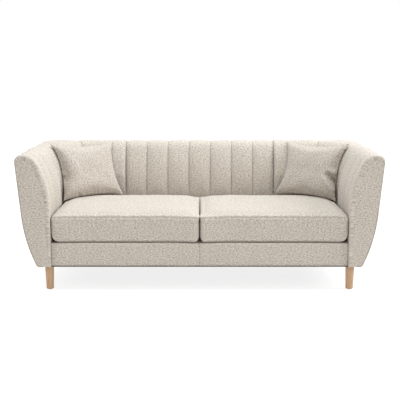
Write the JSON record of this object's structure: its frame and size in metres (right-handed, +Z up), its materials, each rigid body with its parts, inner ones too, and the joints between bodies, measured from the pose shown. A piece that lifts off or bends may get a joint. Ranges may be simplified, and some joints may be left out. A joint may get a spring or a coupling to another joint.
{
  "type": "sofa",
  "caption": "Sofa with level padded arms and back, vertical channels inside, loose seat and scatter cushions and tapered round wooden legs.",
  "frame": {"origin": "on the floor, at the middle of the sofa's width and depth", "axes": "+X along the sofa, +Z up; the seat faces -Y"},
  "size_m": [2.11, 0.866, 0.796],
  "materials": {
    "upholstery": "matte",
    "oak": "satin",
    "frame_timber": "matte",
    "foam": "matte",
    "lining": "matte",
    "zip_tape": "satin",
    "zinc_steel": "satin",
    "glide_plastic": "matte"
  },
  "bodies": {
    "sofa_body": {"arm_base_rail_left": "frame_timber", "arm_base_rail_right": "frame_timber", "arm_foam_left": "foam", "arm_foam_right": "foam", "arm_front_cover_left": "upholstery", "arm_front_cover_right": "upholstery", "arm_front_post_left": "frame_timber", "arm_front_post_right": "frame_timber", "arm_rear_post_left": "frame_timber", "arm_rear_post_right": "frame_timber", "arm_top_rail_left": "frame_timber", "arm_top_rail_right": "frame_timber", "back_base_rail": "frame_timber", "back_foam": "foam", "back_rib_centre": "frame_timber", "back_rib_left": "frame_timber", "back_rib_right": "frame_timber", "back_top_rail": "frame_timber", "centre_rail": "frame_timber", "corner_blocks": "frame_timber", "corner_gussets": "frame_timber", "corner_post_left": "frame_timber", "corner_post_right": "frame_timber", "deck_pad": "foam", "dust_cover": "lining", "frame_bolts": "zinc_steel", "front_rail": "frame_timber", "front_rail_cover": "upholstery", "inside_arm_cover_left": "upholstery", "inside_arm_cover_right": "upholstery", "inside_back_cover": "upholstery", "inside_corner_cover_left": "upholstery", "inside_corner_cover_right": "upholstery", "leg_bolts": "zinc_steel", "leg_front_left": "oak", "leg_front_right": "oak", "leg_glides": "glide_plastic", "leg_plates": "zinc_steel", "leg_rear_left": "oak", "leg_rear_right": "oak", "outside_arm_cover_left": "upholstery", "outside_arm_cover_right": "upholstery", "outside_back_cover": "upholstery", "rail_pad": "foam", "rear_rail": "frame_timber", "side_rail_left": "frame_timber", "side_rail_right": "frame_timber", "sinuous_springs": "zinc_steel", "spring_clips": "zinc_steel"},
    "seat_left": {"seat_cushion_core_left": "foam", "seat_cushion_cover_left": "upholstery", "seat_cushion_zip_left": "zip_tape"},
    "seat_right": {"seat_cushion_core_right": "foam", "seat_cushion_cover_right": "upholstery", "seat_cushion_zip_right": "zip_tape"},
    "scatter_left": {"scatter_cushion_cover_left": "upholstery", "scatter_cushion_filling_left": "foam"},
    "scatter_right": {"scatter_cushion_cover_right": "upholstery", "scatter_cushion_filling_right": "foam"}
  },
  "joints": [
    {"name": "seat_left_lift", "type": "slide", "parent": "sofa_body", "child": "seat_left", "axis": [0, 0, 1], "range_m": [0, 0.52]},
    {"name": "seat_right_lift", "type": "slide", "parent": "sofa_body", "child": "seat_right", "axis": [0, 0, 1], "range_m": [0, 0.52]},
    {"name": "scatter_left_lift", "type": "slide", "parent": "seat_left", "child": "scatter_left", "axis": [0, 0, 1], "range_m": [0, 0.36]},
    {"name": "scatter_right_lift", "type": "slide", "parent": "seat_right", "child": "scatter_right", "axis": [0, 0, 1], "range_m": [0, 0.36]}
  ]
}
